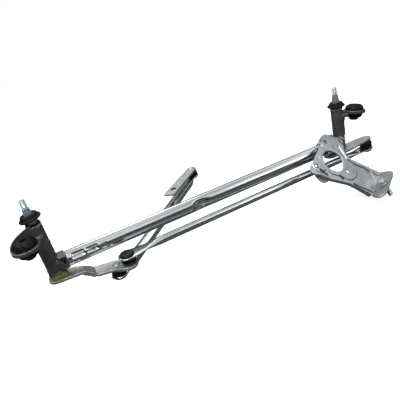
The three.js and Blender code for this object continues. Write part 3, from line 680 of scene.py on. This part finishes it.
def spindle_relief(r, z, angle):
    """Cuts the thread into the tip and the splines into the cone."""
    neck = SPINDLE_TIP_Z - THREAD_LENGTH
    if neck + 0.4 < z < SPINDLE_TIP_Z - 0.8:
        turn = (z / THREAD_PITCH - angle / (2 * math.pi)) % 1
        return -THREAD_DEPTH * abs(2 * turn - 1)
    if CONE_BASE_Z + 1 < z < neck - 1.4:
        return SPLINE_HALF_DEPTH * math.cos(SPLINES * angle) - SPLINE_HALF_DEPTH
    return 0


def cap_profile():
    bore = CONE_BASE_R + 0.9
    return [(11.4, 0), (14.4, 0), (14.4, 2), (12.6, 2.6), (11.6, 4.2), (10.9, 6.6), (8.9, CAP_HEIGHT),
            (bore, CAP_HEIGHT), (bore, 5.8), (10, 3.2)]


def cap_relief(r, z, angle):
    """Slightly out of round, as soft rubber is."""
    return 0.12 * (math.sin(5 * angle) + 0.5 * math.sin(11 * angle + z))


def grommet_profile():
    bore, lip, neck = GROMMET_BORE_R, GROMMET_LIP, GROMMET_NECK_R
    return rounded([(bore, GROMMET_LOW), (6.5, GROMMET_LOW), (7.5, -11.5), (11.5, -10), (13.4, -7),
                    (14.4, -lip), (neck, -lip), (neck, lip), (15.4, lip), (15, 6), (12.8, 10),
                    (9, GROMMET_HIGH), (bore, GROMMET_HIGH)], 1.0, closed=True)


def grommet_relief(r, z, angle):
    """Moulded slits across the dome."""
    if z < 4 or r < 5:
        return 0
    dip = 0.0
    for place in GROMMET_SLITS:
        off = math.atan2(math.sin(angle - place), math.cos(angle - place))
        dip -= 1.3 * math.exp(-(off / 0.09) ** 2)
    return dip


def eye_wall(centre, z, start, end, tall):
    """A curved wall on the eye's rim, highest next to the housing, as a bmesh in the pivot's millimetres."""
    work = bmesh.new()
    inner, outer = EYE_WALL_R
    rows = []
    for t in np.linspace(0, 1, 25):
        angle = math.radians(start + (end - start) * t)
        top = z + 2 + tall * (1 - t)
        c, s = math.cos(angle), math.sin(angle)
        rows.append([work.verts.new((centre[0] + r * c, centre[1] + r * s, h))
                     for r, h in ((outer, z - 2), (outer, top), (inner, top), (inner, z - 2))])
    for a, b in zip(rows, rows[1:]):
        for k in range(4):
            work.faces.new((a[k], a[(k + 1) % 4], b[(k + 1) % 4], b[k]))
    work.faces.new(rows[0])
    work.faces.new(rows[-1][::-1])
    bmesh.ops.recalc_face_normals(work, faces=work.faces)
    return work


def pivot_extras(side, spigot_sign):
    """What the casting has beyond its plain solid: a rib, nubs, the eye's wall and a boss at the tube."""
    reach, turn, z = side["eye"]
    angle = math.radians(turn)
    centre = (reach * math.cos(angle), reach * math.sin(angle))
    boss = block(BOSS_SIZE, (spigot_sign * BOSS_X, 0, TUBE_Z))
    parts = [boss, block((6, 3.4, 30), (9.2, 0, z - 22), angle)]
    if side is LEFT:
        parts.append(eye_wall(centre, z, turn - 190, turn - 25, EYE_WALL_RISE))
    for around, height in ((-0.49, 58), (2.65, 14)):
        parts.append(block((2.6, 3.6, 3.6), (10.2, 0, height), around))
    return parts


def boss_relief(spigot_sign):
    """Sinks a three-cornered pocket into the boss's front face."""
    corners = [(x, TUBE_Z + z) for x, z in POCKET]

    def change(points):
        x = points[:, 0] * spigot_sign
        inside = np.full(len(points), 1e9)
        for (ax, az), (bx, bz) in zip(corners, corners[1:] + corners[:1]):
            long = math.hypot(bx - ax, bz - az)
            inside = np.minimum(inside, ((bz - az) * (x - ax) - (bx - ax) * (points[:, 2] - az)) / long)
        moved = points.copy()
        moved[:, 1] += POCKET_DEPTH * step(inside, -0.3, 1.0) * step(-points[:, 1], 7, 9)
        return moved
    return change


def make_pivot(prefix, side):
    """Everything on one spindle except the lever, and the grommet in the housing's eye."""
    place = PIVOT[prefix]
    crank = f"{prefix}_crank"
    top = HOUSING_TOP_Z
    lever_top, low = side["lever_top"], side["housing_bottom"]

    def lathe(part, profile, material, body, slot, **more):
        name = f"{prefix}_{part}"
        matrix = more.pop("matrix", place)
        mesh = turned(f"{name}_fine", profile, matrix, **more)
        show(f"{name}_fine", mesh, material, body, [name])

    def washer(part, outer, z0, z1, material, slot):
        inner = SPINDLE_R + GAP
        ring = rounded([(inner, z0), (outer, z0), (outer, z1), (inner, z1)], 0.35, closed=True)
        lathe(part, ring, material, crank, slot, closed=True)

    name = f"{prefix}_pivot_housing"
    spigot_sign = 1 if side is LEFT else -1
    body = joined(name, [node_mesh(name), joined(name, pivot_extras(side, spigot_sign), place)])
    mesh = softened(body, 0.62, 5)
    reshape(mesh, place, boss_relief(spigot_sign))
    show(f"{name}_cast", mesh, CASTING, "frame", [name], sharp=75)
    lathe("spindle", spindle_profile(lever_top), STEEL, crank, "steel", segments=216, relief=spindle_relief)
    washer("lower_washer", LOWER_WASHER_R, lever_top + GAP, low - GAP, STEEL, "steel")
    washer("thrust_washer", THRUST_WASHER_R, top + GAP, top + THRUST_WASHER_HIGH, STEEL, "steel")
    washer("retaining_clip", CLIP_R, top + CLIP_LOW, top + CLIP_HIGH, PLASTIC, "black_plastic")
    tilt = place @ Matrix.Translation((0, 0, side["cap_base"])) \
        @ Matrix.Rotation(math.radians(side["cap_tilt"]), 4, "Y")
    lathe("rubber_cap", rounded(cap_profile(), 0.7, closed=True), RUBBER, crank, "rubber", matrix=tilt,
          closed=True, relief=cap_relief, segments=96)
    reach, turn, z = side["eye"]
    turn = math.radians(turn)
    eye = place @ Matrix.Translation((reach * math.cos(turn), reach * math.sin(turn), z)) \
        @ Matrix.Rotation(math.radians(side["eye_tilt"]), 4, "Y")
    lathe("grommet", grommet_profile(), RUBBER, "frame", "rubber", matrix=eye, closed=True,
          relief=grommet_relief, segments=144)


# ---- levers and ball joints -----------------------------------------------------------------------
def stud_profile(thickness, radius, offset):
    """A ball on its riveted foot, through a plate whose top is at 0."""
    head = [(0, -thickness - 2.4), (2.5, -thickness - 2.3), (4.8, -thickness - 1.6), (6, -thickness - GAP),
            (4, -thickness - GAP), (4, GAP), (6, GAP), (6, 1.8), (3.2, 2.2)]
    ball = [(radius * math.cos(a), offset + radius * math.sin(a))
            for a in np.radians(np.linspace(-54, 85, 14))]
    return rounded(head, 0.4) + ball + [(0, offset + radius)]


def socket_profile():
    """The socket snaps over the ball from above; its waist sits in the link's eye."""
    low, high = LINK_PLATE_LOW, LINK_PLATE_LOW + LINK_PLATE
    radius = BALL_R + 2 * GAP
    hollow = [(radius * math.cos(a), radius * math.sin(a)) for a in np.radians(np.linspace(80, -38, 10))]
    outside = rounded([(6.4, -7), (SOCKET_R - 1, -7), (SOCKET_R, -5.5), (SOCKET_R, low - GAP),
                       (LINK_EYE_R, low - GAP), (LINK_EYE_R, high + GAP), (SOCKET_R - 0.4, high + GAP),
                       (SOCKET_R - 0.6, high + 2.2), (SOCKET_R - 3, high + 3.6), (0, high + 3.6)], 0.5)
    return [(0, radius)] + hollow + outside


def socket_relief(r, z, angle):
    """Four lugs round the snap rim."""
    return -0.7 * (math.cos(4 * angle) > 0.86) if r > SOCKET_R - 1.2 and z < 0 else 0


FLIP = Matrix.Rotation(math.pi, 4, "X")


def make_studs():
    low = -LEVER_THICKNESS
    outer = PIVOT["left"] @ Matrix.Translation((*LINK_BALL, LEFT_OUTER_TOP))
    drive = PIVOT["left"] @ Matrix.Translation((*DRIVE_BALL, LEFT_OUTER_TOP + low)) @ FLIP
    right = PIVOT["right"] @ Matrix.Translation((*RIGHT_BALL, RIGHT["lever_top"] + low)) @ FLIP
    crank = CRANK @ Matrix.Translation((0, 0, CRANK_BALL_OFFSET)) @ FLIP
    for name, place, body, sizes in (
            ("left_link_ball_stud", outer, "left_crank", (LEVER_THICKNESS, BALL_R, BALL_OFFSET)),
            ("left_drive_ball_stud", drive, "left_crank", (LEVER_THICKNESS, BALL_R, BALL_OFFSET)),
            ("right_link_ball_stud", right, "right_crank", (LEVER_THICKNESS, OPEN_BALL_R, OPEN_BALL_OFFSET)),
            ("crank_ball_stud", crank, "motor_crank", (CRANK_THICKNESS, BALL_R, CRANK_BALL_OFFSET))):
        mesh = turned(name, stud_profile(*sizes), place, 48)
        show(f"{name}_fine", mesh, LEVER_ZINC, body, [name])


def make_sockets():
    """Three sockets on their balls, the right lever's cup, and the cap on the long link's free end."""
    for name, place, body in (
            ("link_left_socket", LINK, "long_link"),
            ("drive_left_socket", DRIVE @ FLIP, "drive_link"),
            ("drive_right_socket", DRIVE @ Matrix.Translation((DRIVE_LENGTH, 0, 0)) @ FLIP, "drive_link")):
        mesh = turned(name, socket_profile(), place, 96, socket_relief)
        show(f"{name}_fine", mesh, PLASTIC, body, [name])
    radius = OPEN_BALL_R + 2 * GAP
    bottom, top = 0.8 - OPEN_PLATE_LOW, OPEN_BALL_OFFSET - 2.4
    hollow = [(radius * math.cos(a), -radius * math.sin(a)) for a in np.radians(np.linspace(-38, 80, 10))]
    outside = rounded([(0, bottom), (9, bottom), (SOCKET_R, bottom + 1.5), (SOCKET_R, top - 2),
                       (SOCKET_R - 2, top), (5.6, top)], 0.5)
    place = PIVOT["right"] @ Matrix.Translation((*RIGHT_BALL, RIGHT_BALL_Z))
    mesh = turned("cup", outside + hollow + [(0, -radius)], place, 96)
    show("right_ball_cup_fine", mesh, PLASTIC, "right_crank", ["right_ball_cup"])
    plate_z = -OPEN_PLATE_LOW - LINK_PLATE
    cap = rounded([(0, plate_z - 4.5), (7.5, plate_z - 4.5), (10, plate_z - 3), (10, plate_z - GAP),
                   (4, plate_z - GAP), (4, plate_z + LINK_PLATE), (0, plate_z + LINK_PLATE)], 0.5)
    end = LINK @ Matrix.Translation((LINK_LENGTH, 0, 0))
    mesh = turned("cap", cap, end, 96)
    show("link_right_cap_fine", mesh, PLASTIC, "long_link", ["link_right_cap"])


def ease_joggle(points):
    """Turns the left lever's straight step into an S-bend."""
    moved = points.copy()
    start, run = JOGGLE_STRAIGHT
    straight = np.clip((points[:, 0] - start) / run, 0, 1)
    moved[:, 2] -= LEFT_JOGGLE * (step(points[:, 0], *JOGGLE_EASED) - straight)
    return moved


def make_levers():
    """The three flat arms, and the teeth in the motor crank's shaft hole, steel drawn in the black plastic finish
    as painted shade.
    """
    for name, body in (("left_crank_lever", "left_crank"), ("right_crank_lever", "right_crank"),
                       ("motor_crank_arm", "motor_crank")):
        mesh = softened(node_mesh(name), 0.55, 5)
        if name == "left_crank_lever":
            reshape(mesh, PIVOT["left"], ease_joggle)
        show(f"{name}_fine", mesh, LEVER_ZINC, body, [name], sharp=75)
    low, high = CRANK_BALL_OFFSET + 0.1, CRANK_BALL_OFFSET + CRANK_THICKNESS - 0.1
    ring = [(5.3, low), (5.3, high), (4.7, high - 0.4), (4.7, low + 0.4)]

    def teeth(r, z, angle):
        return 0.25 * math.cos(CRANK_TEETH * angle) if r < CRANK_SHAFT_R else 0

    place = CRANK @ Matrix.Translation((CRANK_LENGTH, 0, 0))
    # The teeth are steel; the black plastic finish is painted shade in the shaft hole.
    mesh = turned("teeth", ring, place, 240, teeth, closed=True)
    show("crank_shaft_teeth_painted_dark", mesh, PLASTIC, "motor_crank", sharp=70)


def make_grease():
    """A lumpy ring of grease squeezed out between the left lever and its housing."""
    z = LEFT["lever_top"]
    toward_tube = math.radians(-35)

    def lumps(r, height, angle):
        if r < 10:
            return 0
        swell = 0.5 + 0.5 * math.cos(angle - toward_tube)
        lump = math.sin(9 * angle) * math.sin(5 * angle + 2.1 * height) \
            + 0.6 * math.sin(17 * angle + height)
        return 3.2 * swell ** 3 + 0.75 * lump * (0.3 + swell)

    profile = rounded([(9.6, z + 0.1), (11.2, z + 0.1), (11.4, z + 2.4), (10.8, z + 5), (9.6, z + 7.5)],
                      1.2, closed=True)
    mesh = turned("grease", profile, PIVOT["left"], 180, lumps, closed=True)
    show("left_hub_grease", mesh, GREASE, "left_crank", sharp=80)


# ---- links ----------------------------------------------------------------------------------------
def squircle(x, width, height, z, power):
    """A cross-section between an ellipse (power 2) and a rectangle (higher powers)."""
    count = 40
    points = []
    for i in range(count):
        a = 2 * math.pi * (i + 0.5) / count
        c, s = math.cos(a), math.sin(a)
        points.append((x, width * math.copysign(abs(c) ** (2 / power), c),
                       z + height * math.copysign(abs(s) ** (2 / power), s)))
    return points


def make_long_link():
    """A tube pressed flat at both ends, whose right end runs under the cup."""
    half = LINK_PLATE / 2
    left_z, right_z = LINK_PLATE_LOW + half, -OPEN_PLATE_LOW - half
    flat, tube, tube_r = LINK_FLAT_END, LINK_TUBE_START, LINK_TUBE_R
    # distance in from the ball, half width, half height, squareness
    keys = [(-12.5, 2.0, half * 0.6, 3), (-12, 5.5, half, 4), (-9, 9.3, half, 4), (-4, 12, half, 4),
            (3, 12.5, half, 4), (12, 12, half, 4), (flat, 8.8, half, 4), (34, 8, half + 1.2, 3),
            (46, 6.8, tube_r - 1.2, 2.4), (56, tube_r, tube_r, 2), (tube, tube_r, tube_r, 2)]
    inward = np.array([k[0] for k in keys], float)
    stations = sorted(set(np.round(np.concatenate([np.linspace(inward[0], tube, 40), inward]), 2)))

    def at(inset, x, z):
        width, height, power = (float(np.interp(inset, inward, [k[i] for k in keys])) for i in (1, 2, 3))
        return squircle(x, width, height, z, power)

    def height(x):
        return left_z + (right_z - left_z) * float(np.clip((x - flat) / (LINK_LENGTH - 2 * flat), 0, 1))

    sections = [at(s, s, left_z if s < flat else height(s)) for s in stations]
    sections += [squircle(x, tube_r, tube_r, height(x), 2)
                 for x in np.linspace(tube + 8, LINK_LENGTH - tube - 8, 30)]
    sections += [at(s, LINK_LENGTH - s, right_z if s < flat else height(LINK_LENGTH - s))
                 for s in reversed(stations)]
    mesh = skin("long_link_rod_fine", sections, LINK)
    show("long_link_rod_fine", mesh, ROD_ZINC, "long_link", ["long_link_rod"], sharp=60)


def make_drive_rod():
    """A pressed channel: flat eyes at its ends and turned-down walls between them."""
    low, high = -LINK_PLATE_LOW - LINK_PLATE, -LINK_PLATE_LOW
    eye_r, end = DRIVE_EYE_R, 40
    round_end = eye_r * np.cos(np.linspace(0.02, math.pi / 2, 14))
    stations = np.concatenate([-round_end, np.linspace(0, end, 24), np.linspace(end, DRIVE_LENGTH - end, 40),
                               DRIVE_LENGTH - np.linspace(0, end, 24), DRIVE_LENGTH + round_end])
    sections = []
    for x in sorted(set(np.round(stations, 3))):
        inset = min(x, DRIVE_LENGTH - x)
        if inset < 0:
            half = math.sqrt(max(0.3, eye_r ** 2 - inset ** 2))
        else:
            half = eye_r + (DRIVE_HALF_WIDTH - eye_r) * float(step(inset, 4, 20))
        foot = high - ((DRIVE_DEPTH - 2) * float(step(inset, 16, 34)) + 2)
        under = low if foot < low else foot
        inner = max(half - DRIVE_WALL, 0.2)
        shoulder = half - min(1.5, half)
        sections.append([(x, -half, foot), (x, -half, high - 1.4), (x, -half + 0.5, high - 0.4),
                         (x, -shoulder, high), (x, 0, high), (x, shoulder, high), (x, half - 0.5, high - 0.4),
                         (x, half, high - 1.4), (x, half, foot), (x, inner, foot), (x, inner, under),
                         (x, -inner, under), (x, -inner, foot)])
    mesh = skin("drive_rod_fine", sections, DRIVE)
    show("drive_rod_fine", mesh, ROD_ZINC, "drive_link", ["drive_rod"], sharp=50)


# ---- frame tube -----------------------------------------------------------------------------------
def make_tube():
    """The tube with its oval and round indents near both ends, and a long thumbprint dimple between them."""
    span = (PIVOT["right"].translation - PIVOT["left"].translation).length / MM
    length = span - 2 * TUBE_START
    lean = math.radians(TUBE_LEAN)
    start = ORIGIN + Vector((TUBE_START - TUBE_Z * math.sin(lean), 0, TUBE_Z * math.cos(lean))) * MM
    place = axes(start, (1, 0, 0), (0, 0, 1))
    dimple = DIMPLE_AT * length
    dents = [(x if x > 0 else length + x, TUBE_FRONT + turn, *rest) for x, turn, *rest in TUBE_DENTS]

    def off_centre(angle, centre, half_angle):
        return math.atan2(math.sin(angle - centre), math.cos(angle - centre)) / half_angle

    def radius(x, angle):
        sunk = 0.0
        for centre, turn, half, half_angle, depth in dents:
            off = off_centre(angle, turn, half_angle)
            sunk += depth * math.exp(-1.4 * (((x - centre) / half) ** 6 + off ** 6))
        off = off_centre(angle, DIMPLE_TURN, DIMPLE_HALF_ANGLE)
        lip = dimple + DIMPLE_CURVE * off ** 2
        run = (x - lip) / (DIMPLE_LIP if x < lip else DIMPLE_RUN_OUT)
        sunk += DIMPLE_DEPTH * math.exp(-1.9 * (abs(run) ** 2 + abs(off) ** 3))
        return TUBE_R - sunk

    segments = 96
    stations = np.concatenate([
        np.linspace(0, 64, 110), np.linspace(64, dimple - 20, 24), np.linspace(dimple - 20, dimple + 45, 60),
        np.linspace(dimple + 45, length - 50, 24), np.linspace(length - 50, length, 45)])
    xs = sorted(set(np.round(stations, 3)))

    def ring(x, thinner):
        points = []
        for i in range(segments):
            angle = 2 * math.pi * i / segments
            r = radius(x, angle) - thinner
            points.append((x, r * math.cos(angle), r * math.sin(angle)))
        return points

    sections = [ring(x, 0) for x in xs] + [ring(x, TUBE_WALL) for x in reversed(xs[::3])]
    sections.append(sections[0])
    mesh = skin("frame_tube_fine", sections, place, caps=False)
    work = bmesh.new()
    work.from_mesh(mesh)
    bmesh.ops.remove_doubles(work, verts=work.verts, dist=1e-6)
    work.to_mesh(mesh)
    work.free()
    show("frame_tube_fine", mesh, TUBE_ZINC, "frame", ["frame_tube"], sharp=50)


# ---- motor bracket --------------------------------------------------------------------------------
def inside_pad(points):
    """How far inside the raised pad's edge each point lies, in plan."""
    inside = np.full(len(points), -1e9)
    for x, y, r in PAD_LOBES:
        inside = np.maximum(inside, r - np.hypot(points[:, 0] - x, points[:, 1] - y))
    return inside


def bracket_relief(points):
    """Presses the pad, grooves and dimples into the plate."""
    flat = step(-np.abs(points[:, 2] + BRACKET_PLATE / 2), -3.2, -2.2)
    down = PAD_STEP * (1 - step(inside_pad(points), -1.0, 0.8)) * (1 - step(-points[:, 1], 62, 76))
    for line in GROOVES:
        down += GROOVE_DEPTH * np.exp(-(near_line(points, line) / 1.7) ** 4)
    for x, y in DIMPLES:
        down += DIMPLE_PRESS * np.exp(-(np.hypot(points[:, 0] - x, points[:, 1] - y) / 3) ** 2)
    moved = points.copy()
    moved[:, 2] -= down * flat
    return moved


def paint_pressing_shade(mesh):
    """Marks where shade is painted on the pressing: darker in the grooves, along the pad's step, in the dimples
    and over the flange.
    """
    local = local_points(mesh, BRACKET)
    shade = np.zeros(len(local))
    for line in GROOVES:
        shade = np.maximum(shade, 0.95 * np.exp(-(near_line(local, line) / 1.5) ** 4))
    pad_edge = np.exp(-((inside_pad(local) + 0.3) / 0.8) ** 2)
    shade = np.maximum(shade, 0.7 * pad_edge * step(local[:, 0], 0, 12))
    for x, y in DIMPLES:
        shade = np.maximum(shade, 0.8 * np.exp(-(np.hypot(local[:, 0] - x, local[:, 1] - y) / 2) ** 2))
    # The whole flange darker: painted shade, as the flange faces away from the light.
    shade = np.maximum(shade, 0.34 * step(local[:, 2], 0.8, 2.2))
    mesh.attributes.new("painted_shade", "FLOAT", "POINT").data.foreach_set("value", shade.astype(np.float32))


def make_bracket():
    """The pressed motor bracket with its walls and flange, its saddle and tab, and the fixing stud."""
    thick, deep = BRACKET_WALL
    parts = [flat_plate(BRACKET_OUTLINE, -BRACKET_PLATE, 0, [MOTOR_HOLE, *SCREW_HOLES])]
    for wall in BRACKET_WALLS:
        for (x0, y0), (x1, y1) in zip(wall, wall[1:]):
            length = math.hypot(x1 - x0, y1 - y0)
            parts.append(block((length + 0.8, thick, deep), (length / 2, 1.3, -deep / 2),
                               math.atan2(y1 - y0, x1 - x0), (x0, y0)))
    body = joined("motor_bracket", parts, BRACKET)
    hole = [(*STUD_PLACE, STUD_HOLE_R)]
    flange = joined("flange", [flat_plate(FLANGE_OUTLINE, -FLANGE_HALF, FLANGE_HALF, hole)], FLANGE)
    mesh = softened(joined("motor_bracket", [body, flange]), 0.7, 4)
    # Paints shade into the bracket's colour: grooves, pad step, dimples and flange darker.
    paint_pressing_shade(mesh)
    reshape(mesh, BRACKET, bracket_relief)
    show("motor_bracket_fine", mesh, PLATE_ZINC, "frame", ["motor_bracket"], sharp=75)
    for name, voxel, passes, material, slot, sharp in (
            ("locating_tab", 0.5, 4, LEVER_ZINC, "lever_plate", 75),
            ("tube_saddle", 0.6, 3, PLATE_ZINC, "bracket_plate", 75),
            ("fixing_stud_nut", 0.4, 2, LEVER_ZINC, "steel", 60)):
        mesh = softened(node_mesh(name), voxel, passes)
        show(f"{name}_fine", mesh, material, "frame", [name], sharp=sharp)
    tip_r = STUD_R - 0.8
    thread = [(STUD_R - 0.05, z) for z in np.linspace(STUD_LOW + 1, STUD_HIGH - 1, 160)]
    profile = [(0, STUD_LOW), (tip_r, STUD_LOW), *thread, (tip_r, STUD_HIGH), (0, STUD_HIGH)]

    def relief(r, z, angle):
        return -0.55 * abs(2 * ((z / THREAD_PITCH - angle / (2 * math.pi)) % 1) - 1) if r > tip_r else 0

    mesh = turned("stud", profile, FLANGE @ Matrix.Translation((*STUD_PLACE, 0)), 72, relief)
    show("fixing_stud_fine", mesh, STEEL, "frame", ["fixing_stud"])


make_tube()
make_pivot("left", LEFT)
make_pivot("right", RIGHT)
make_levers()
make_studs()
make_sockets()
make_grease()
make_long_link()
make_drive_rod()
make_bracket()
